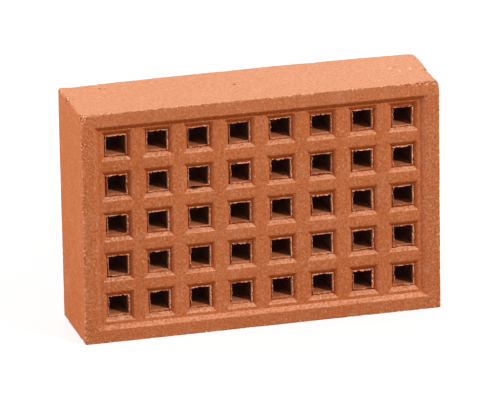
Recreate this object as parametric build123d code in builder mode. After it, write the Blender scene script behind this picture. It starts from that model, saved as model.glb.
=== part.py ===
import os
from math import atan2, degrees

from build123d import *

# Overall size of the brick, standing on its long bed face
face_width = 215
face_height = 140
brick_depth = 53
arris_radius = 1

# Sunken panel in the front face: a flat border, then sloping sides
border_width = 8.4
panel_depth = 3
panel_slope_run = 2.7

# Square air holes: a funnel mouth in the panel, a narrow ledge, then a straight hole
hole_width = 11.6
ledge_width = 1.1
funnel_run = 2.1
funnel_depth = 2.1
bar_width = 6.6
panel_margin = 0.5

panel_width = face_width - 2 * (border_width + panel_slope_run)
panel_height = face_height - 2 * (border_width + panel_slope_run)
throat_width = hole_width + 2 * ledge_width
mouth_width = throat_width + 2 * funnel_run
hole_pitch = mouth_width + bar_width

# As many columns and rows as fit in the panel, centred on the face
columns = 1 + int((panel_width - 2 * panel_margin - mouth_width) / hole_pitch)
rows = 1 + int((panel_height - 2 * panel_margin - mouth_width) / hole_pitch)

panel_taper = degrees(atan2(panel_slope_run, panel_depth))
funnel_taper = degrees(atan2(funnel_run, funnel_depth))

# The front faces -Y; the brick stands on Z = 0 with its middle over the origin
front = Plane((0, -brick_depth / 2, face_height / 2), x_dir=(1, 0, 0), z_dir=(0, -1, 0))
panel = front.offset(-panel_depth)
back = front.offset(-brick_depth)

with BuildPart() as airbrick:
    # Solid block with worn arrises
    with BuildSketch(front):
        Rectangle(face_width, face_height)
    extrude(amount=-brick_depth)
    fillet(airbrick.edges(), arris_radius)

    # Sunken panel with four sloping sides
    with BuildSketch(front):
        Rectangle(face_width - 2 * border_width, face_height - 2 * border_width)
    extrude(amount=-panel_depth, taper=panel_taper, mode=Mode.SUBTRACT)

    # Funnel mouths, which narrow from the panel to the ledge of each hole
    with BuildSketch(panel):
        with GridLocations(hole_pitch, hole_pitch, columns, rows):
            Rectangle(mouth_width, mouth_width)
    extrude(amount=-funnel_depth, taper=funnel_taper, mode=Mode.SUBTRACT)

    # Straight holes from the ledges out through the back face
    with BuildSketch(back):
        with GridLocations(hole_pitch, hole_pitch, columns, rows):
            Rectangle(hole_width, hole_width)
    extrude(until=Until.LAST, mode=Mode.SUBTRACT)

airbrick.part.label = "airbrick"
os.makedirs("parts", exist_ok=True)
export_step(airbrick.part, "parts/airbrick.step")
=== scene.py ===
import math
import random

import bmesh
import bpy
from mathutils import Matrix, Vector, kdtree, noise


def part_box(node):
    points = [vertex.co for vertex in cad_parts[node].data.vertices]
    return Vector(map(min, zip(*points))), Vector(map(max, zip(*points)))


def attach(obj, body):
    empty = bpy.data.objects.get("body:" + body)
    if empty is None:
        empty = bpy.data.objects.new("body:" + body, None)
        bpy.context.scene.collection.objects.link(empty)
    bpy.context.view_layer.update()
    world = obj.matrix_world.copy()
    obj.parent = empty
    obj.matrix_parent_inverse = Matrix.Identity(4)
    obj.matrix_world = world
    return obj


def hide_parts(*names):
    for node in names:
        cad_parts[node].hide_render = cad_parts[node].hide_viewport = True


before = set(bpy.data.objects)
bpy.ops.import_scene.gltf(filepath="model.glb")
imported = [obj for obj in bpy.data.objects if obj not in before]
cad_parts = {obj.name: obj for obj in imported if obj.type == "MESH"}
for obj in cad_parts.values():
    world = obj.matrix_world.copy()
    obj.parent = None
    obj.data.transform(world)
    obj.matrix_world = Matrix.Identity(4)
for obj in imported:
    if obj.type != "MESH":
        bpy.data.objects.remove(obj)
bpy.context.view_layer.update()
scene = bpy.context.scene
scene.view_settings.view_transform = "Standard"
mmPerMetre = 1000


def hexColour(code):
    channels = [int(code[i:i + 2], 16) / 255 for i in (1, 3, 5)]
    linear = [c / 12.92 if c <= 0.04045 else ((c + 0.055) / 1.055) ** 2.4 for c in channels]
    return (*linear, 1.0)


def addNode(tree, kind, inputs=None, **settings):
    node = tree.nodes.new(kind)
    for name, value in settings.items():
        setattr(node, name, value)
    for socket, value in (inputs or {}).items():
        if isinstance(value, bpy.types.NodeSocket):
            tree.links.new(value, node.inputs[socket])
        else:
            node.inputs[socket].default_value = value
    return node


# Pressed and fired clay block, worked in millimetres about the middle of its front panel
brick = {
    "columns": 8,
    "rows": 5,
    "pitch": 24.6,            # hole centre to hole centre
    "mouth": 18.0,            # funnel at the panel
    "border": 8.4,            # flat rim round the sunken panel
    "slopeRun": 2.7,
    "panelDepth": 3.0,
    # how far the foot and the rim of the panel's sloping sides stand out from an even outline
    "panelOut": {"left": (0.0, 0.75), "right": (0.4, 0.4), "top": (0.0, 0.45), "bottom": (1.2, 0.5)},
    "cutsPerSide": 23,        # points along each side of a hole
    "barRow": 1.7,            # row of points along the middle of a bar
    # funnel, then crevice and torn lip, as (run inwards, drop) from the mouth to the hole's wall
    "funnelSteps": ((0.1, 0.03), (0.12, 0.11), (0.62, 0.55), (0.62, 0.63), (0.64, 0.78)),
    "lipSteps": ((0.12, 0.4), (0.16, 0.05), (0.12, -1.05), (0.24, -0.16), (0.28, 0.14), (0.18, 1.2)),
    # rows of points: into a hole, up a slope, over the border, along the sides, onto the back
    "wallDepths": (4.6, 9.0, 15.0, 40.0),
    "slopeShares": (0.08, 0.37, 0.66, 0.97),
    "borderRows": (0.1, 0.7, 2.2, 4.2, 6.0, 7.2, 7.75, 8.1, 8.4),
    "sideRows": (0.35, 0.8, 1.5, 2.6, 4.5, 7.5, 11.5, 16.0, 20.5, 24.5, 27.5, 30.5, 33.5, 37.0, 41.0,
                 45.5, 48.5, 51.0, 52.1, 52.65),
    "backRows": (0.35, 0.9, 4.0),
    "same": 0.01,             # places nearer than this are level with each other
    "weld": 0.005,
}

low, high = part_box("airbrick")
halfWidth = (high.x - low.x) * mmPerMetre / 2
halfHeight = (high.z - low.z) * mmPerMetre / 2
depth = (high.y - low.y) * mmPerMetre
panelWidth = halfWidth - brick["border"] - brick["slopeRun"]     # half sizes of the panel
panelHeight = halfHeight - brick["border"] - brick["slopeRun"]
innerWidth = panelWidth + brick["slopeRun"]                      # and of the border's inner edge
innerHeight = panelHeight + brick["slopeRun"]
frontY = -brick["panelDepth"]
backY = frontY + depth


def cellGrid(bm, turn):
    made = bmesh.ops.create_grid(bm, x_segments=brick["columns"], y_segments=brick["rows"], size=0.5)
    spread = (brick["columns"] * brick["pitch"], brick["rows"] * brick["pitch"], 1)
    bmesh.ops.scale(bm, vec=spread, verts=made["verts"])
    bmesh.ops.rotate(bm, matrix=Matrix.Rotation(math.radians(turn), 3, "X"), verts=made["verts"])
    return list({f for v in made["verts"] for f in v.link_faces})


def faceVerts(faces):
    return list({v for f in faces for v in f.verts})


def nestSquares(bm, faces, run, drop, ring):
    bmesh.ops.inset_individual(bm, faces=faces, thickness=run, depth=-drop, use_even_offset=True)
    for v in faceVerts(faces):
        v[nest] = ring


def growRing(bm, edges, newWidth, newHeight, back):
    grown = bmesh.ops.extrude_edge_only(bm, edges=edges)["geom"]
    verts = [g for g in grown if isinstance(g, bmesh.types.BMVert)]
    wide = max(v.co.x for v in verts)
    tall = max(v.co.z for v in verts)
    bmesh.ops.scale(bm, vec=(newWidth / wide, 1, newHeight / tall), verts=verts)
    bmesh.ops.translate(bm, vec=(0, back - verts[0].co.y, 0), verts=verts)
    for v in verts:
        v[nest] = 0
    return [g for g in grown if isinstance(g, bmesh.types.BMEdge) and g.is_boundary]


def squeeze(value, start, end, edge):    # brings the outer half bars in to the panel's edge
    reach = abs(value)
    if reach > start:
        reach = start + (reach - start) * (edge - start) / (end - start)
    return math.copysign(reach, value)


def openEdges(bm):
    return sum(not e.is_manifold for e in bm.edges)


bm = bmesh.new()
nest = bm.verts.layers.float.new("nest")      # which nested square a point belongs to
paleWearAndHighlight = bm.verts.layers.float.new("paleWearAndHighlight")      # broken or rubbed clay
creaseShade = bm.verts.layers.float.new("creaseShade")        # broken or rubbed clay, paler, partly a painted highlight
crumbly = bm.verts.layers.float.new("crumbly")    # painted shade in cracks, crevices and at the feet of slopes
sandy = bm.verts.layers.float.new("sandy")    # moulded face with a sanded grain
holeShade = bm.verts.layers.float.new("holeShade")    # painted shade inside a hole and in its cracks

# Front: bars, then a funnel, a crevice and a lip nested in every cell
cells = cellGrid(bm, 90)
barHalf = (brick["pitch"] - brick["mouth"]) / 2
barEdge = barHalf - brick["funnelSteps"][0][0] / 2
barSteps = ((brick["barRow"], 0), (barEdge - brick["barRow"], 0))
steps = barSteps + brick["funnelSteps"] + brick["lipSteps"]
for ring, (run, drop) in enumerate(steps, 1):
    nestSquares(bm, cells, run, drop, ring)
mouthRing = len(barSteps) + 1
firstLip = mouthRing + len(brick["funnelSteps"])
wallRing = len(steps)
creviceDepth = sum(drop for run, drop in steps[:firstLip + 1])
footHalf = brick["pitch"] / 2 - sum(run for run, drop in steps[:firstLip - 1])    # of a funnel
holeHalf = max(v.co.x for v in cells[0].verts) - cells[0].calc_center_median().x
for reach in brick["wallDepths"] + (backY,):
    cells = bmesh.ops.extrude_discrete_faces(bm, faces=cells)["faces"]
    verts = faceVerts(cells)
    bmesh.ops.translate(bm, vec=(0, reach - verts[0].co.y, 0), verts=verts)
    for v in verts:
        v[nest] = wallRing + 1
bmesh.ops.delete(bm, geom=cells, context="FACES")

# Back: plain bars round the ends of the holes
cells = cellGrid(bm, -90)
bmesh.ops.translate(bm, vec=(0, backY, 0), verts=faceVerts(cells))
nestSquares(bm, cells, brick["pitch"] / 2 - holeHalf, 0, wallRing + 1)
bmesh.ops.delete(bm, geom=cells, context="FACES_ONLY")

gridWidth = brick["columns"] * brick["pitch"] / 2
gridHeight = brick["rows"] * brick["pitch"] / 2
for v in bm.verts:
    v.co.x = squeeze(v.co.x, gridWidth - barEdge, gridWidth, panelWidth)
    v.co.z = squeeze(v.co.z, gridHeight - barEdge, gridHeight, panelHeight)

# Points along every straight side, then the rims and the four outer sides ring by ring
straight = []
for e in bm.edges:
    gap = e.verts[0].co - e.verts[1].co
    if abs(gap.y) < brick["same"] and min(abs(gap.x), abs(gap.z)) < brick["same"]:
        straight.append(e)
bmesh.ops.subdivide_edges(bm, edges=straight, cuts=brick["cutsPerSide"], use_grid_fill=True)
rim = [e for e in bm.edges if e.is_boundary and abs(e.verts[0].co.y) < brick["same"]]
for share in brick["slopeShares"]:
    run = brick["slopeRun"] * share
    rim = growRing(bm, rim, panelWidth + run, panelHeight + run, frontY * share)
for run in brick["borderRows"]:
    rim = growRing(bm, rim, innerWidth + run, innerHeight + run, frontY)
for reach in brick["sideRows"] + (depth,):
    rim = growRing(bm, rim, halfWidth, halfHeight, frontY + reach)
for run in brick["backRows"]:
    rim = growRing(bm, rim, halfWidth - run, halfHeight - run, backY)
growRing(bm, rim, panelWidth, panelHeight, backY)
bmesh.ops.remove_doubles(bm, verts=bm.verts, dist=brick["weld"])
bmesh.ops.recalc_face_normals(bm, faces=bm.faces)

# The panel was pressed a little out of true
for v in bm.verts:
    if v[nest] or v.co.y > brick["same"]:
        continue
    rise = v.co.y / frontY
    for axis, edge, names in ((0, panelWidth, ("left", "right")), (2, panelHeight, ("bottom", "top"))):
        reach = abs(v.co[axis])
        if reach > edge - brick["same"]:
            foot, rimOut = brick["panelOut"][names[v.co[axis] > 0]]
            fade = min(1, 1 - (reach - edge - brick["slopeRun"]) / brick["border"])
            v.co[axis] = math.copysign(reach + fade * (foot + (rimOut - foot) * rise), v.co[axis])
print("brick block:", len(bm.verts), "points,", sum(len(f.verts) - 2 for f in bm.faces), "triangles,",
      openEdges(bm), "open edges")

# What pressing, drawing the pins out and handling did to it, in millimetres and shares of 1
wear = {
    "seed": 7,
    # wavelength of each ripple, and the layer that keeps it out of step with the others
    "ripples": {"ragged": (3.2, 1), "jagged": (1.15, 2), "paleness": (1.5, 3), "crevice": (2.0, 4),
                "wander": (1.4, 5), "sway": (5.0, 6), "arris": (9, 8), "worn": (2.2, 9),
                "paleArris": (2.6, 10), "grainyArris": (5, 10), "crumble": (1.3, 12), "lump": (1.5, 14),
                "crack": (4.0, 15)},
    "layerStep": (7.3, 3.1, -5.9), "wallLayer": 7, "faceLayer": 11,

    # each hole: degrees and mm off its place, then how its lips differ from the usual ones
    "holeTurn": 1.1, "holeShift": 0.3,
    "heightSpread": (0.65, 1.25), "leanSpread": (-0.4, 0.4),
    "paleSpread": (0.5, 1.4), "creviceSpread": (-0.7, 0.5),
    # each side of a hole has its own lip: how far it stands up, leans in, spreads out and wanders
    "lipHeight": {"top": 1.0, "right": 0.95, "left": 0.9, "bottom": 0.3},
    "lipLean": {"top": 0.1, "right": -0.25, "left": 0.4, "bottom": 0.2},
    "lipSpread": {"top": -0.1, "right": -0.05, "left": -0.25, "bottom": 0.0},
    "lipRagged": {"top": 0.9, "right": 1.0, "left": 1.2, "bottom": 1.6},
    # paleness of each lip: pale torn clay and partly a painted highlight, most on the right and upper lips
    "lipPaleness": {"top": 0.98, "right": 1.35, "left": 0.75, "bottom": 0.0},
    "lipLumps": {"top": 0.3, "right": 0.1, "left": 0.5, "bottom": 0.7},      # odd pale crumbs on it
    "lumpStart": 0.22, "lumpRange": 0.2, "lumpHeight": 0.5,
    "lowerThinned": 0.1,                              # the outer side of the lower lip is drawn in
    "lipUsual": 0.85, "lipLeast": 0.03, "lipMost": 1.45,      # shares of its height
    "raggedShare": 1.1, "jaggedShare": 1.8, "swayShare": 1.1,
    "lipWander": 0.3,
    "lipNested": 0.75,                                # least share of its inset that each ring keeps
    "palePatch": (0.75, 0.6), "lipGrains": (0.2, 0.5),        # usual share, and swing
    "bottomRowPale": 1.4, "paleLossPerRow": 0.2,      # the lower the row, the paler its lips
    "lowerLipShade": 0.1,                              # a touch of painted shade, enough to keep the dust and painted sheen off it
    "creviceLean": 0.7, "wallLean": 0.5,              # shares of the lip's lean
    "throatIn": {"top": 0.2, "right": 0.0, "left": 0.4, "bottom": 0.0},      # further in at the foot
    "crevice": {"top": -0.35, "right": -0.35, "left": 0.3, "bottom": 0.05},  # deeper or filled gap
    "creviceSwing": 0.35,
    # holes, as column and row from the lower left, whose lower side has cracked away, and how far
    "cracks": {(0, 4): 1.5, (2, 3): 1.0, (1, 3): 0.5, (0, 1): 0.8,
               (7, 1): 1.0, (2, 2): 0.5, (6, 1): 0.4, (5, 3): 0.4},
    # what each crack adds: share and swing, width, depth and painted shade
    "crackUsual": 0.35, "crackSwing": 1.3, "crackWidth": 0.4, "crackDepth": 1.5, "crackShade": 0.9,

    # funnels
    "funnelFootShade": {"top": 0.3, "right": 0.6, "left": 0.1, "bottom": 0.0},       # painted shade towards the foot of each funnel side
    "paleRim": 0.3, "paleRimRings": 3,                # where the lower side is paler at its rim
    "mouthTop": 0.25, "mouthTopRings": 4,             # the upper side of each mouth stands higher
    "leftGrit": 0.35, "leftGritColumns": 2,           # grains on the lower sides, fading from the left

    # walls of the holes
    "wallWaves": ((5, 0.16), (1.6, 0.09)),            # wavelength, height
    # painted shade on the walls of the holes: where it starts and how far it runs, by side
    "shadeStart": {"bottom": 5.5, "left": 2.0, "right": -1.0, "top": 2.0},
    "shadeRun": {"bottom": 12.0, "left": 6.0, "right": 4.0, "top": 6.0},
    "shadeLeast": 0.12, "shadeEnd": 14.0,
    "shadeThinner": 0.25, "thinnerFrom": 9, "thinnerRun": 9,   # less of it deep inside
    "straightBack": 1,                                # last stretch before the back, left as it is

    # arrises: two faces together make a radius
    "faceSoftness": {"left": 0.28, "right": 0.28, "front": 0.12, "back": 0.2, "top": 0.14, "bottom": 0.5},
    "arrisWander": 0.15, "arrisCrumble": 0.15, "arrisReach": 9, "leastRadius": 0.12,
    # rubbed rounder: corners, and arrises from their middles, as (extra radius, reach)
    "rubbed": {(1, -1, 1): (1.4, 9), (-1, -1, 1): (1.6, 7), (1, 1, 1): (1.2, 7), (-1, 0, 1): (1.9, 50),
               (1, 0, 1): (0.4, 30), (-1, -1, 0): (0.2, 90), (1, -1, 0): (0.2, 90),
               (1, -0.7, 1): (2.4, 12), (1, -0.25, 1): (2.4, 12)},
    # pale line on the upper front arris, worn and partly a painted highlight, and grains on every arris:
    # width, usual share and swing
    "paleArris": (0.8, 0.4, 0.8), "paleArrisWithin": 2,
    "grainyArris": (2.0, 0.25, 0.9),
    # crumbly spots on the arrises: x, depth from the front, z, reach
    "crumbles": ((-106.8, 33, 70, 6.5), (-107.5, 0, 70, 6), (-107.5, 0, 52, 3), (107.5, 0, 70, 5),
                 (101, 0, 70, 3.5), (95, 0, 70, 3), (89, 0, 70, 2.5), (83, 0, 70, 2),
                 (107.5, 22, 70, 7), (107.5, 10, 70, 5)),
    "crumbleCore": 1.3, "crumbleUsual": 0.25, "crumbleSwing": 0.9,    # how sharp a spot is, how deep

    # nicks along the upper front arris: place, radius, depth
    "nicks": ((-104.6, 1.1, 0.5), (-79.9, 1.0, 0.45), (-67.9, 1.0, 0.4), (-60.7, 1.1, 0.5),
              (-57.1, 1.6, 0.9), (-53.5, 1.1, 0.5), (-49.3, 1.0, 0.5), (-45.1, 1.1, 0.5),
              (-25.8, 1.0, 0.5), (-12.0, 1.0, 0.4), (8.4, 1.3, 0.6), (19.3, 1.0, 0.4)),
    "nickInset": 0.15, "nickPale": 0.4, "nickGrains": 0.6,
    "chips": 200, "chipInset": 0.2, "chipRadius": (0.7, 1.3), "chipDepth": (0.12, 0.4), "chipSlant": (0.4, 1),
    # more chips in the last stretch by the worn corner
    "cornerChips": 26, "cornerStretch": 14, "cornerBack": (0, 0.5), "cornerDown": (0, 1.5),
    "cornerRadius": (0.8, 1.6), "cornerDepth": (0.25, 0.7),

    # faces: wavelength, height
    "frontWaves": ((16, 0.12), (4.5, 0.05), (1.5, 0.045)),
    "sideWaves": ((28, 0.16), (7, 0.05), (2.2, 0.02)),
    "mouldedBack": 3.2, "mouldedEdge": 0.6,           # the sanded mould touched the front this far
    "sandFront": 1.0, "sandEnds": 0.4, "sandEndsFrom": -4, "sandEndsRun": 6,     # more at the ends
    "sandSides": 0.85, "sandTop": 0.4, "sandFunnel": 1.1, "sandSlope": 1.0,
    "topFacing": 0.7, "slopeFacing": 0.4,             # least upward part of a normal
    "slopePale": {"left": 0.07, "right": 0.14, "top": 0.0, "bottom": 0.05},  # painted light, paler towards the rim
    "slopeFoot": {"left": 0.25, "right": 0.4, "top": 0.1, "bottom": 0.0},    # painted shade at the foot of the slope
    "slopeFootRise": 0.4, "slopeRise": 0.98,          # shares of the slope's height
    "slopeEdge": -0.05,
    "topBorder": 0.06,                                # dustier than the rest of the front
    "gritRight": 0.12, "gritFrom": -0.5, "gritCore": 1.1, "gritRun": 6,      # right border
    "twist": 0.4, "twistFrom": -60, "twistRun": 47,   # the left end's back edge is out of true
    "topRise": 0.35, "crown": 0.8, "riseRun": 12,     # rise of the upper face, more along its back
    "ear": 0.7, "earReach": 9,                        # clay dragged up at the left back corner
    "shrunk": 0.003,                                  # edges shorter than this are dissolved
    "arrisWidth": 2.5, "arrisSmooth": 70, "elseSmooth": 40,   # degrees up to which an edge looks smooth
}


def noiseAt(point, size, layer):
    stepX, stepY, stepZ = wear["layerStep"]
    return noise.noise(point / size + Vector((layer * stepX + wear["seed"], layer * stepY, layer * stepZ)))


def ripple(point, name):
    return noiseAt(point, *wear["ripples"][name])


def waves(point, sizes, layer):
    return sum(height * noiseAt(point, size, layer) for size, height in sizes)


def ease(share):
    share = max(0.0, min(1.0, share))
    return share * share * (3 - 2 * share)


def sideOf(sideways, x, z):
    if sideways:
        return "right" if x > 0 else "left"
    return "top" if z > 0 else "bottom"


# Each hole was torn open by its own pin, so each lip is ragged in its own way
draw = random.Random(wear["seed"])
holes = {}
for column in range(brick["columns"]):
    for row in range(brick["rows"]):
        rowPale = wear["bottomRowPale"] - wear["paleLossPerRow"] * row
        turn = math.radians(draw.uniform(-1, 1) * wear["holeTurn"])
        holes[column, row] = {
            "turn": Matrix.Rotation(turn, 3, "Y"),
            "shift": Vector((draw.uniform(-1, 1), 0, draw.uniform(-1, 1))) * wear["holeShift"],
            "height": {k: height * draw.uniform(*wear["heightSpread"])
                       for k, height in wear["lipHeight"].items()},
            "lean": {k: lean + draw.uniform(*wear["leanSpread"]) for k, lean in wear["lipLean"].items()},
            "pale": {k: pale * draw.uniform(*wear["paleSpread"]) * rowPale
                     for k, pale in wear["lipPaleness"].items()},
            "crevice": {k: gap + draw.uniform(*wear["creviceSpread"]) for k, gap in wear["crevice"].items()},
        }
for v in bm.verts:
    ring = round(v[nest])
    if ring < mouthRing - 1:
        continue
    column = round(v.co.x / brick["pitch"] + (brick["columns"] - 1) / 2)
    row = round(v.co.z / brick["pitch"] + (brick["rows"] - 1) / 2)
    hole = holes[column, row]
    centre = Vector(((column - (brick["columns"] - 1) / 2) * brick["pitch"], 0,
                     (row - (brick["rows"] - 1) / 2) * brick["pitch"]))
    arm = Vector((v.co.x, 0, v.co.z)) - centre
    reach = max(abs(arm.x), abs(arm.z))
    nested = wear["lipNested"] * (footHalf - reach)
    side = sideOf(abs(arm.x) > abs(arm.z), arm.x, arm.z)
    crest = centre + arm * (holeHalf / reach)          # the same place on every ring of the lip
    crack = 0
    if side == "bottom":
        crack = wear["cracks"].get((column, row), 0)
        crack *= max(0, wear["crackUsual"] + wear["crackSwing"] * ripple(crest, "crack"))

    # Funnel
    if ring < firstLip:
        raised = ease(1 - (ring - mouthRing) / wear["mouthTopRings"])
        v.co.z += wear["mouthTop"] * max(0, arm.z) / reach * raised
    if ring < mouthRing:
        continue
    if ring < firstLip:
        footward = ease((ring - mouthRing) / (firstLip - 1 - mouthRing))
        inwards = wear["throatIn"][side] * footward
        if side in ("left", "right"):
            v.co.x -= arm.x * inwards / reach
        else:
            v.co.z -= arm.z * inwards / reach
        if ring == firstLip - 1:
            v.co.z -= wear["crackWidth"] * crack
        # painted shade towards the funnel's foot
        v[creaseShade] = wear["funnelFootShade"][side] * footward
        if side == "bottom":
            v[paleWearAndHighlight] = wear["paleRim"] * ease(1 - (ring - mouthRing) / wear["paleRimRings"])
            v[crumbly] = wear["leftGrit"] * max(0, 1 - column / wear["leftGritColumns"])
        continue

    # Crevice, lip and the start of the wall, then the wall itself
    y = v.co.y
    if ring <= wallRing:
        lump = ease((ripple(crest, "lump") - wear["lumpStart"]) / wear["lumpRange"]) * wear["lipLumps"][side]
        rough = wear["raggedShare"] * ripple(crest, "ragged") + wear["jaggedShare"] * ripple(crest, "jagged")
        ragged = wear["lipUsual"] + wear["lipRagged"][side] * rough
        height = max(wear["lipLeast"], min(wear["lipMost"], ragged)) * hole["height"][side]
        height += wear["lumpHeight"] * lump
        if firstLip + 1 < ring < wallRing:
            y = creviceDepth - (creviceDepth - y) * height
            usual, swing = wear["palePatch"]
            # pale torn clay on the lip, partly a painted highlight
            v[paleWearAndHighlight] = hole["pale"][side] * (usual + swing * ripple(crest, "paleness")) + lump
            usual, swing = wear["lipGrains"]
            v[crumbly] = usual + swing * min(1, hole["pale"][side])
            reach -= hole["lean"][side]
            if side == "bottom":
                v[holeShade] = wear["lowerLipShade"]
                reach -= wear["lowerThinned"] * (wallRing - 1 - ring) / 2
        elif ring <= firstLip + 1:
            y += hole["crevice"][side] + wear["creviceSwing"] * ripple(crest, "crevice")
            y += wear["crackDepth"] * crack
            # painted shade in the crevice, and more in a crack
            v[creaseShade] = 1.0
            v[holeShade] = min(wear["crackShade"], crack)
            if ring == firstLip:
                reach += wear["crackWidth"] * crack - wear["throatIn"][side]
            else:
                reach -= hole["lean"][side] * wear["creviceLean"]
        else:
            reach -= hole["lean"][side] * wear["wallLean"]
        if firstLip < ring < wallRing - 1:
            reach += wear["lipSpread"][side]
        if ring > firstLip:
            wander = ripple(crest, "wander") + wear["swayShare"] * ripple(crest, "sway")
            reach += wear["lipWander"] * wear["lipRagged"][side] * wander
    else:
        if y < backY - wear["straightBack"]:
            reach += waves(Vector((v.co.x, y, v.co.z)), wear["wallWaves"], wear["wallLayer"])
        # painted shade on the walls, growing inwards from the mouth and fading before the back
        paintedShade = max(wear["shadeLeast"], ease((y - wear["shadeStart"][side]) / wear["shadeRun"][side]))
        paintedShade *= ease((backY - y) / wear["shadeEnd"])
        v[holeShade] = paintedShade * (1 - wear["shadeThinner"] * ease((y - wear["thinnerFrom"]) / wear["thinnerRun"]))
    arm *= reach / max(abs(arm.x), abs(arm.z))
    if y < backY - wear["straightBack"]:
        arm = hole["turn"] @ arm + hole["shift"] * min(1, max(0, (ring - firstLip) / 2))
    if ring <= wallRing:                               # each ring of the lip stays inside the one before it
        room = {name: footHalf - inwards - nested for name, inwards in wear["throatIn"].items()}
        arm.x = max(-room["left"], min(room["right"], arm.x))
        arm.z = max(-room["bottom"] - wear["crackWidth"] * crack, min(room["top"], arm.z))
    v.co = centre + arm
    v.co.y = y
print("lips torn round", len(holes), "holes")

# Arrises rubbed round, more so at the corners
middle = Vector((0, (frontY + backY) / 2, 0))
half = Vector((halfWidth, depth / 2, halfHeight))
faceNames = (("left", "right"), ("front", "back"), ("bottom", "top"))
for v in bm.verts:
    place = v.co - middle
    gaps = sorted((half[i] - abs(place[i]), i) for i in range(3))
    fromArris = gaps[1][0]
    if round(v[nest]) >= firstLip or fromArris > wear["arrisReach"]:
        continue
    radius = sum(wear["faceSoftness"][faceNames[i][place[i] > 0]] for gap, i in gaps[:2])
    radius += wear["arrisWander"] * ripple(place, "arris") + wear["arrisCrumble"] * ripple(place, "worn")
    for sides, (extra, reach) in wear["rubbed"].items():
        corner = Vector([h * s for h, s in zip(half, sides)])
        radius += extra * ease(1 - (place - corner).length / reach)
    radius = max(wear["leastRadius"], radius)
    inner = Vector([max(radius - half[i], min(half[i] - radius, place[i])) for i in range(3)])
    out = place - inner
    if out.length > radius:
        v.co = middle + inner + out * (radius / out.length)
    # a pale line along the upper front arris, worn and partly a painted highlight
    if place.z > half.z - wear["paleArrisWithin"] and place.y < wear["paleArrisWithin"] - half.y:
        width, usual, swing = wear["paleArris"]
        v[paleWearAndHighlight] = max(v[paleWearAndHighlight], ease(1 - fromArris / width) * (usual + swing * ripple(place, "paleArris")))
    width, usual, swing = wear["grainyArris"]
    v[crumbly] = max(0, ease(1 - fromArris / width) * (usual + swing * ripple(place, "grainyArris")))
    for x, back, z, reach in wear["crumbles"]:
        away = (v.co - Vector((x, frontY + back, z))).length / reach
        near = ease(wear["crumbleCore"] - wear["crumbleCore"] * away)
        if near > 0:
            lost = max(0, wear["crumbleUsual"] + wear["crumbleSwing"] * ripple(place, "crumble"))
            v.co -= out.normalized() * near * lost
            v[crumbly] = max(v[crumbly], near)

# Chips: the nicks that show, and small ones scattered along every arris
bm.verts.ensure_lookup_table()
finder = kdtree.KDTree(len(bm.verts))
for v in bm.verts:
    finder.insert(v.co, v.index)
finder.balance()


def nick(centre, radius, deep, inward):
    for place, index, distance in finder.find_range(centre, radius):
        fall = (1 - (distance / radius) ** 2) ** 2
        v = bm.verts[index]
        v.co += inward * deep * fall
        v[paleWearAndHighlight] = max(v[paleWearAndHighlight], fall * wear["nickPale"])
        v[crumbly] = max(v[crumbly], fall * wear["nickGrains"])


topFront = Vector((0, frontY + wear["nickInset"], halfHeight - wear["nickInset"]))
intoTopFront = Vector((0, 0.8, -0.6))      # back and down
for x, radius, deep in wear["nicks"]:
    nick(topFront + Vector((x, 0, 0)), radius, deep, intoTopFront)
# axis along an arris, the other two axes, their sides, how many chips it gets next to the others
arrises = [(0, 1, 2, -1, 1, 4), (2, 0, 1, -1, -1, 4), (1, 0, 2, -1, 1, 2), (1, 0, 2, 1, 1, 2),
           (2, 0, 1, 1, -1, 3), (0, 1, 2, -1, -1, 3), (0, 1, 2, 1, 1, 1), (0, 1, 2, 1, -1, 1),
           (2, 0, 1, -1, 1, 1), (2, 0, 1, 1, 1, 1), (1, 0, 2, -1, -1, 1), (1, 0, 2, 1, -1, 1)]
weights = [a[5] for a in arrises]
for i in range(wear["chips"]):
    along, first, second, firstSide, secondSide, many = draw.choices(arrises, weights)[0]
    place = Vector()
    place[along] = draw.uniform(-1, 1) * half[along]
    place[first] = firstSide * (half[first] - wear["chipInset"])
    place[second] = secondSide * (half[second] - wear["chipInset"])
    inward = Vector()
    inward[first] = -firstSide * draw.uniform(*wear["chipSlant"])
    inward[second] = -secondSide * draw.uniform(*wear["chipSlant"])
    radius = draw.uniform(*wear["chipRadius"])
    nick(place + middle, radius, draw.uniform(*wear["chipDepth"]), inward.normalized())
for i in range(wear["cornerChips"]):
    x = halfWidth - draw.random() * wear["cornerStretch"]
    place = topFront + Vector((x, draw.uniform(*wear["cornerBack"]), -draw.uniform(*wear["cornerDown"])))
    radius = draw.uniform(*wear["cornerRadius"])
    nick(place, radius, draw.uniform(*wear["cornerDepth"]), intoTopFront)

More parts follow.
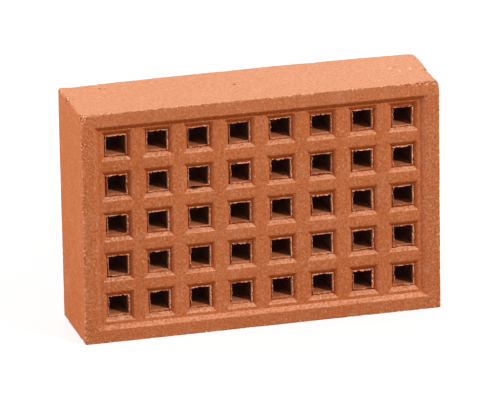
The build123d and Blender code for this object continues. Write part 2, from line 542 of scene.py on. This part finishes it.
# Uneven faces, and a sanded grain coarse enough to model
bm.normal_update()
for v in bm.verts:
    place = v.co.copy()
    edgeGap = min(half.z - abs(place.z), half.x - abs(place.x))
    moulded = place.y < wear["mouldedBack"] and edgeGap > wear["mouldedEdge"]
    rise = place.y / frontY
    across = abs(place.x) - panelWidth
    along = abs(place.z) - panelHeight
    onPanel = max(across, along) < wear["slopeEdge"]
    if not moulded:
        v[sandy] = wear["sandTop"] if v.normal.z > wear["topFacing"] else wear["sandSides"]
    elif v.normal.z > wear["slopeFacing"]:
        v[sandy] = wear["sandFunnel"] if onPanel else wear["sandSlope"]
    else:
        endward = (abs(place.x) - innerWidth - wear["sandEndsFrom"]) / wear["sandEndsRun"]
        v[sandy] = wear["sandFront"] + wear["sandEnds"] * ease(endward)
    # painted light towards the rim of the panel's slopes and painted shade at their feet
    if moulded and rise < wear["slopeRise"] and max(across, along) > wear["slopeEdge"]:
        side = sideOf(across > along, place.x, place.z)
        v[paleWearAndHighlight] = wear["slopePale"][side] * ease(rise)
        v[creaseShade] = wear["slopeFoot"][side] * ease(1 - rise / wear["slopeFootRise"])
    elif moulded and place.z > innerHeight:
        v[paleWearAndHighlight] = max(v[paleWearAndHighlight], wear["topBorder"])
    if moulded and place.x > innerWidth + wear["gritFrom"]:
        near = ease(wear["gritCore"] - (place.x - innerWidth) / wear["gritRun"])
        v[crumbly] = max(v[crumbly], wear["gritRight"] * near)
    if round(v[nest]) >= firstLip:
        continue
    v.co += v.normal * waves(place, wear["frontWaves"] if moulded else wear["sideWaves"], wear["faceLayer"])
    back = ease((place.y - frontY) / depth)
    leftward = ease((wear["twistFrom"] - place.x) / wear["twistRun"])
    v.co.x -= back * leftward * wear["twist"] * place.z / halfHeight
    lift = wear["topRise"] + wear["crown"] * back * (1 - (place.x / halfWidth) ** 2)
    v.co.z += lift * ease((place.z - halfHeight + wear["riseRun"]) / wear["riseRun"])
    fromCorner = Vector((place.x + halfWidth, place.y - backY, place.z - halfHeight)).length
    v.co.z += wear["ear"] * ease(1 - fromCorner / wear["earReach"])
    v.co.z = max(-halfHeight, v.co.z)
bmesh.ops.dissolve_degenerate(bm, dist=wear["shrunk"], edges=bm.edges)     # where two points of a lip met
bm.verts.layers.float.remove(bm.verts.layers.float["nest"])
for f in bm.faces:
    f.smooth = True
for e in bm.edges:
    gaps = [sorted(half[i] - abs(v.co[i] - middle[i]) for i in range(3))[1] for v in e.verts]
    onArris = max(gaps) < wear["arrisWidth"]
    e.smooth = e.calc_face_angle(0) < math.radians(wear["arrisSmooth"] if onArris else wear["elseSmooth"])
chipCount = wear["chips"] + wear["cornerChips"] + len(wear["nicks"])
print("weathered:", chipCount, "chips,", openEdges(bm), "open edges")

# Stand it on the floor, in metres
bmesh.ops.translate(bm, vec=(0, -depth / 2 - frontY, halfHeight), verts=bm.verts)
bmesh.ops.scale(bm, vec=[1 / mmPerMetre] * 3, verts=bm.verts)
mesh = bpy.data.meshes.new("airbrick_clay")
bm.to_mesh(mesh)
bm.free()
airbrick = bpy.data.objects.new("airbrick_clay", mesh)
scene.collection.objects.link(airbrick)

# Unglazed terracotta, pressed in a sanded mould and fired: dull orange clay with a sandy grain, pale crumbs
# of crushed pot, small pits, a paler skin where dusty or rubbed, painted shade in hollows and a painted sheen
clay = {
    "colours": {
        "body": "#c76e3f",
        "rich": "#b85c2a",        # redder, darker patches
        "shadedUnderside": "#c55a15",       # painted shade: a deeper red on undersides
        "creaseShade": "#a2451c",         # painted shade in cracks and creases
        "dustAndSheen": "#e2a47f",        # dust and a painted sheen on what looks up
        "paleGrain": "#e5a277",
        "dustAndSheenGrain": "#f7cdb2",
        "darkGrain": "#97481f",
        # pale torn and rubbed clay, partly a painted highlight
        "paleWearAndHighlight": "#ffbe92",
        "crumb": "#ffd0aa",
        "pit": "#6d3015",
        # painted shade inside the holes and in cracks
        "paintedShade": "#513225",
    },
    # mm across, detail, roughness; real sand of about 0.4 mm is too fine to show in the render,
    # so sand, grain and loose are drawn two to four times as coarse
    "noises": {"mottle": (42, 3.0, 0.6), "patch": (11, 2.0, 0.6), "sand": (1.4, 2.0, 0.7),
               "loose": (1.3, 1.0, 0.5), "grain": (0.8, 1.0, 0.5)},
    "crumbSpacing": 3.4, "crumbStrength": 0.4,        # mm apart, share of the colour
    "pitSpacing": 2.8, "pitStrength": 0.45,
    "bump": 0.3,                                      # mm
    "ior": 1.5, "specular": 0.15,                     # fired clay, whose pores leave it dull
    "skinFrom": 20, "skinTo": 30, "skin": 0.09,       # mm from the bed and from the top, share
    "topDustAndSheen": (0.52, 0.67),                          # shares at the left and right ends
    # on the top, pale grains by the right end, and dark spots painted as the shade in shallow dents: x, depth
    # from the front, radius, colour
    "marks": ((86.2, 29.6, 1.2, "crumb"), (90.5, 23.4, 1.0, "crumb"), (97.6, 26.0, 1.3, "crumb"),
              (-8.3, 28.1, 1.5, "darkGrain"), (-85.0, 44.5, 1.3, "darkGrain"),
              (-82.5, 42.8, 1.1, "darkGrain")),
    "markLift": 0.5, "markStrength": 0.85,
}
shade = {name: hexColour(code) for name, code in clay["colours"].items()}
terracotta = bpy.data.materials.new("unglazedTerracotta")
terracotta.use_nodes = True
tree = terracotta.node_tree
tree.nodes.clear()
where = addNode(tree, "ShaderNodeTexCoord")
spot = where.outputs["Object"]
facing = addNode(tree, "ShaderNodeSeparateXYZ", {0: where.outputs["Normal"]}).outputs["Z"]
across = addNode(tree, "ShaderNodeSeparateXYZ", {0: spot})
here = {name: addNode(tree, "ShaderNodeAttribute", attribute_name=name).outputs["Fac"]
        for name in ("paleWearAndHighlight", "creaseShade", "crumbly", "sandy", "holeShade")}
speckle = {}
for name, (size, detail, roughness) in clay["noises"].items():
    settings = {"Vector": spot, "Scale": mmPerMetre / size, "Detail": detail, "Roughness": roughness}
    speckle[name] = addNode(tree, "ShaderNodeTexNoise", settings).outputs["Fac"]
coats = []                # share and colour, laid over the clay's body in this order

rich = addNode(tree, "ShaderNodeMapRange", {0: speckle["mottle"], 1: 0.4, 2: 0.7, 3: 0.0, 4: 0.4})
coats.append((rich.outputs[0], shade["rich"]))
patch = addNode(tree, "ShaderNodeMapRange", {0: speckle["patch"], 1: 0.5, 2: 0.75, 3: 0.0, 4: 0.18})
coats.append((patch.outputs[0], shade["dustAndSheen"]))

# Undersides get a deeper red as painted shade; what looks up gets dust and a painted sheen, and the smoother
# ends are paler towards the top
# painted shade: faces that look down turn a deeper red
shadedUnderside = addNode(tree, "ShaderNodeMapRange", {0: facing, 1: -0.15, 2: -0.65, 3: 0.0, 4: 0.85})
coats.append((shadedUnderside.outputs[0], shade["shadedUnderside"]))
skinLow = low.z + clay["skinFrom"] / mmPerMetre
skinHigh = high.z - clay["skinTo"] / mmPerMetre
upper = addNode(tree, "ShaderNodeMapRange", {0: across.outputs["Z"], 1: skinLow, 2: skinHigh,
                                             3: 0.0, 4: clay["skin"]})
skin = addNode(tree, "ShaderNodeMapRange", {0: here["sandy"], 1: 0.7, 2: 1.0, 3: upper.outputs[0], 4: 0.0})
thick = addNode(tree, "ShaderNodeMapRange", {0: across.outputs["X"], 1: low.x, 2: high.x,
                                             3: clay["topDustAndSheen"][0], 4: clay["topDustAndSheen"][1]})
dustAndSheen = addNode(tree, "ShaderNodeMapRange", {0: facing, 1: 0.2, 2: 1.0,
                                            3: skin.outputs[0], 4: thick.outputs[0]})
outside = addNode(tree, "ShaderNodeMapRange", {0: here["holeShade"], 1: 0.0, 2: 0.1, 3: 1.0, 4: 0.0})
dustAndSheen = addNode(tree, "ShaderNodeMath", {0: dustAndSheen.outputs[0], 1: outside.outputs[0]}, operation="MULTIPLY")
coats.append((dustAndSheen.outputs[0], shade["dustAndSheen"]))

# Sand grains, stronger on the moulded front than on the smoother sides
grit = addNode(tree, "ShaderNodeMath", {0: dustAndSheen.outputs[0], 1: 0.5, 2: 0.5}, operation="MULTIPLY_ADD")
grit = addNode(tree, "ShaderNodeMath", {0: grit.outputs[0], 1: here["sandy"]}, operation="MULTIPLY")
paleTint = addNode(tree, "ShaderNodeMix", {0: dustAndSheen.outputs[0], 6: shade["paleGrain"], 7: shade["dustAndSheenGrain"]},
                   data_type="RGBA")
paleSand = addNode(tree, "ShaderNodeMapRange", {0: speckle["sand"], 1: 0.52, 2: 0.72, 3: 0.0, 4: 1.0})
paleSand = addNode(tree, "ShaderNodeMath", {0: paleSand.outputs[0], 1: grit.outputs[0]}, operation="MULTIPLY")
coats.append((paleSand.outputs[0], paleTint.outputs[2]))
darkSand = addNode(tree, "ShaderNodeMapRange", {0: speckle["sand"], 1: 0.48, 2: 0.28, 3: 0.0, 4: 1.15})
darkSand = addNode(tree, "ShaderNodeMath", {0: darkSand.outputs[0], 1: grit.outputs[0]}, operation="MULTIPLY")
coats.append((darkSand.outputs[0], shade["darkGrain"]))

# Cracks, crevices and the feet of slopes get a deep red as painted shade; torn and rubbed clay is pale, partly
# a painted highlight, with dark specks between its crumbs
coats.append((here["creaseShade"], shade["creaseShade"]))
specks = addNode(tree, "ShaderNodeMapRange", {0: speckle["grain"], 1: 0.46, 2: 0.34, 3: 0.0, 4: 0.85})
paleWearAndHighlightTint = addNode(tree, "ShaderNodeMix", {0: specks.outputs[0], 6: shade["paleWearAndHighlight"], 7: shade["darkGrain"]},
                   data_type="RGBA")
coats.append((here["paleWearAndHighlight"], paleWearAndHighlightTint.outputs[2]))

# Loose grains along the arrises, pale and dark
paleDot = addNode(tree, "ShaderNodeMapRange", {0: speckle["loose"], 1: 0.58, 2: 0.64, 3: 0.0, 4: 1.0})
paleDot = addNode(tree, "ShaderNodeMath", {0: paleDot.outputs[0], 1: here["crumbly"]}, operation="MULTIPLY")
coats.append((paleDot.outputs[0], shade["crumb"]))
darkDot = addNode(tree, "ShaderNodeMapRange", {0: speckle["loose"], 1: 0.46, 2: 0.4, 3: 0.0, 4: 0.85})
darkDot = addNode(tree, "ShaderNodeMath", {0: darkDot.outputs[0], 1: here["crumbly"]}, operation="MULTIPLY")
coats.append((darkDot.outputs[0], shade["pit"]))

# Pale crumbs in a few of the cells, dark pits in a few of another set
crumbs = addNode(tree, "ShaderNodeTexVoronoi", {"Vector": spot, "Scale": mmPerMetre / clay["crumbSpacing"]})
pick = addNode(tree, "ShaderNodeSeparateColor", {0: crumbs.outputs["Color"]})
size = addNode(tree, "ShaderNodeMapRange", {0: pick.outputs[0], 1: 0.75, 2: 1.0, 3: 0.02, 4: 0.16})
crumb = addNode(tree, "ShaderNodeMath", {0: crumbs.outputs["Distance"], 1: size.outputs[0]},
                operation="LESS_THAN")
crumb = addNode(tree, "ShaderNodeMath", {0: crumb.outputs[0], 1: clay["crumbStrength"]}, operation="MULTIPLY")
coats.append((crumb.outputs[0], shade["crumb"]))
pits = addNode(tree, "ShaderNodeTexVoronoi", {"Vector": spot, "Scale": mmPerMetre / clay["pitSpacing"]})
pick = addNode(tree, "ShaderNodeSeparateColor", {0: pits.outputs["Color"]})
size = addNode(tree, "ShaderNodeMapRange", {0: pick.outputs[1], 1: 0.86, 2: 1.0, 3: 0.02, 4: 0.18})
size = addNode(tree, "ShaderNodeMath", {0: size.outputs[0], 1: here["sandy"]}, operation="MULTIPLY")
pit = addNode(tree, "ShaderNodeMath", {0: pits.outputs["Distance"], 1: size.outputs[0]},
              operation="LESS_THAN")
pitDark = addNode(tree, "ShaderNodeMath", {0: pit.outputs[0], 1: clay["pitStrength"]}, operation="MULTIPLY")
coats.append((pitDark.outputs[0], shade["pit"]))
# painted shade inside the holes and in cracks
coats.append((here["holeShade"], shade["paintedShade"]))

for x, back, radius, name in clay["marks"]:
    mark = (x / mmPerMetre, back / mmPerMetre + low.y, high.z + clay["markLift"] / mmPerMetre)
    away = addNode(tree, "ShaderNodeVectorMath", {0: spot, 1: mark}, operation="DISTANCE").outputs["Value"]
    rimAway = radius / mmPerMetre
    share = addNode(tree, "ShaderNodeMapRange", {0: away, 1: rimAway, 2: rimAway / 2,
                                                 3: 0.0, 4: clay["markStrength"]})
    coats.append((share.outputs[0], shade[name]))

colour = shade["body"]
for share, tint in coats:
    colour = addNode(tree, "ShaderNodeMix", {0: share, 6: colour, 7: tint}, data_type="RGBA").outputs[2]

# Relief of the sand, grain and pits
relief = addNode(tree, "ShaderNodeMath", {0: speckle["sand"], 1: 0.6, 2: speckle["grain"]},
                 operation="MULTIPLY_ADD")
relief = addNode(tree, "ShaderNodeMath", {0: relief.outputs[0], 1: pit.outputs[0]}, operation="SUBTRACT")
strength = addNode(tree, "ShaderNodeMapRange", {0: here["sandy"], 1: 0.4, 2: 1.0, 3: 0.15, 4: 0.7})
bump = addNode(tree, "ShaderNodeBump", {"Height": relief.outputs[0], "Strength": strength.outputs[0],
                                        "Distance": clay["bump"] / mmPerMetre})
rough = addNode(tree, "ShaderNodeMapRange", {0: speckle["sand"], 1: 0.3, 2: 0.7, 3: 0.82, 4: 0.96})
shader = addNode(tree, "ShaderNodeBsdfPrincipled", {"Base Color": colour, "Roughness": rough.outputs[0],
                                                    "IOR": clay["ior"], "Specular IOR Level": clay["specular"],
                                                    "Normal": bump.outputs[0]})
addNode(tree, "ShaderNodeOutputMaterial", {"Surface": shader.outputs["BSDF"]})
airbrick.data.materials.append(terracotta)

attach(airbrick, "root")
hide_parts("airbrick")
print("terracotta:", len(tree.nodes), "nodes")

# Matt white paper for a floor: white to the eye, but it throws little light back up
studio = {
    "floorSize": 6,
    "paper": "#8e8e8e", "paperGlow": 0.75, "bounce": "#878583",
    "worldFill": 0.45, "worldSeen": 1.0,
    "aim": (0, 0, 0.07),
    # azimuth, elevation, distance, size, watts
    "lamps": {"key": (37, 37, 3.2, 0.32, 70.0), "leftFill": (-85, 15, 1.6, 0.6, 15.8),
              "backFill": (180, 42, 1.6, 0.8, 10.5)},
}


def seenAsItIs(tree):            # 1 for what the camera sees, also in gloss or through glass
    path = addNode(tree, "ShaderNodeLightPath")
    seen = path.outputs["Is Camera Ray"]
    for ray in ("Is Glossy Ray", "Is Transmission Ray"):
        either = addNode(tree, "ShaderNodeMath", {0: seen, 1: path.outputs[ray]}, operation="MAXIMUM")
        seen = either.outputs[0]
    return seen


def towards(azimuth, elevation):
    a = math.radians(azimuth)
    e = math.radians(elevation)
    return Vector((math.sin(a) * math.cos(e), -math.cos(a) * math.cos(e), math.sin(e)))


floorMesh = bpy.data.meshes.new("floor")
bm = bmesh.new()
bmesh.ops.create_grid(bm, x_segments=1, y_segments=1, size=studio["floorSize"])
bm.to_mesh(floorMesh)
bm.free()
floor = bpy.data.objects.new("floor", floorMesh)
scene.collection.objects.link(floor)
paper = bpy.data.materials.new("whitePaper")
paper.use_nodes = True
tree = paper.node_tree
tree.nodes.clear()
sheet = addNode(tree, "ShaderNodeBsdfDiffuse", {"Color": hexColour(studio["paper"])})
glow = addNode(tree, "ShaderNodeEmission", {"Strength": studio["paperGlow"]})
shown = addNode(tree, "ShaderNodeAddShader", {0: sheet.outputs[0], 1: glow.outputs[0]})
dull = addNode(tree, "ShaderNodeBsdfDiffuse", {"Color": hexColour(studio["bounce"])})
both = addNode(tree, "ShaderNodeMixShader", {0: seenAsItIs(tree), 1: dull.outputs[0], 2: shown.outputs[0]})
addNode(tree, "ShaderNodeOutputMaterial", {"Surface": both.outputs[0]})
floor.data.materials.append(paper)

for name, (azimuth, elevation, distance, size, watts) in studio["lamps"].items():
    away = towards(azimuth, elevation)
    data = bpy.data.lights.new(name, "AREA")
    data.shape = "DISK"
    data.size = size
    data.energy = watts
    lamp = bpy.data.objects.new(name, data)
    stand = Matrix.Translation(Vector(studio["aim"]) + away * distance)
    lamp.matrix_world = stand @ away.to_track_quat("Z", "Y").to_matrix().to_4x4()
    scene.collection.objects.link(lamp)

world = bpy.data.worlds.new("studio")
scene.world = world
world.use_nodes = True
tree = world.node_tree
tree.nodes.clear()
level = addNode(tree, "ShaderNodeMix", {"Factor": seenAsItIs(tree), "A": studio["worldFill"],
                                        "B": studio["worldSeen"]})
glow = addNode(tree, "ShaderNodeBackground", {"Color": (1, 1, 1, 1), "Strength": level.outputs["Result"]})
addNode(tree, "ShaderNodeOutputWorld", {"Surface": glow.outputs["Background"]})
print("studio: floor, world and", len(studio["lamps"]), "lamps")

# Camera: long lens, up and to the left
cameraView = {
    "azimuth": -15.1, "elevation": 19.15, "roll": -0.83,      # degrees
    "distance": 4.399, "lens": 542.6,                         # metres, millimetres
    "aim": (0, -0.0015, 0.07), "slide": (0.00075, 0.00022),
    "farthest": 50,
}
turn = math.radians(cameraView["azimuth"])
roll = math.radians(cameraView["roll"])
back = towards(cameraView["azimuth"], cameraView["elevation"])
sideways = Vector((math.cos(turn), math.sin(turn), 0))
upright = back.cross(sideways)
right = sideways * math.cos(roll) + upright * math.sin(roll)
up = upright * math.cos(roll) - sideways * math.sin(roll)
place = Vector(cameraView["aim"]) + back * cameraView["distance"]
place -= right * cameraView["slide"][0] + up * cameraView["slide"][1]
cameraData = bpy.data.cameras.new("camera")
cameraData.lens = cameraView["lens"]
cameraData.clip_end = cameraView["farthest"]
camera = bpy.data.objects.new("camera", cameraData)
camera.matrix_world = Matrix.Translation(place) @ Matrix((right, up, back)).transposed().to_4x4()
scene.collection.objects.link(camera)
scene.camera = camera
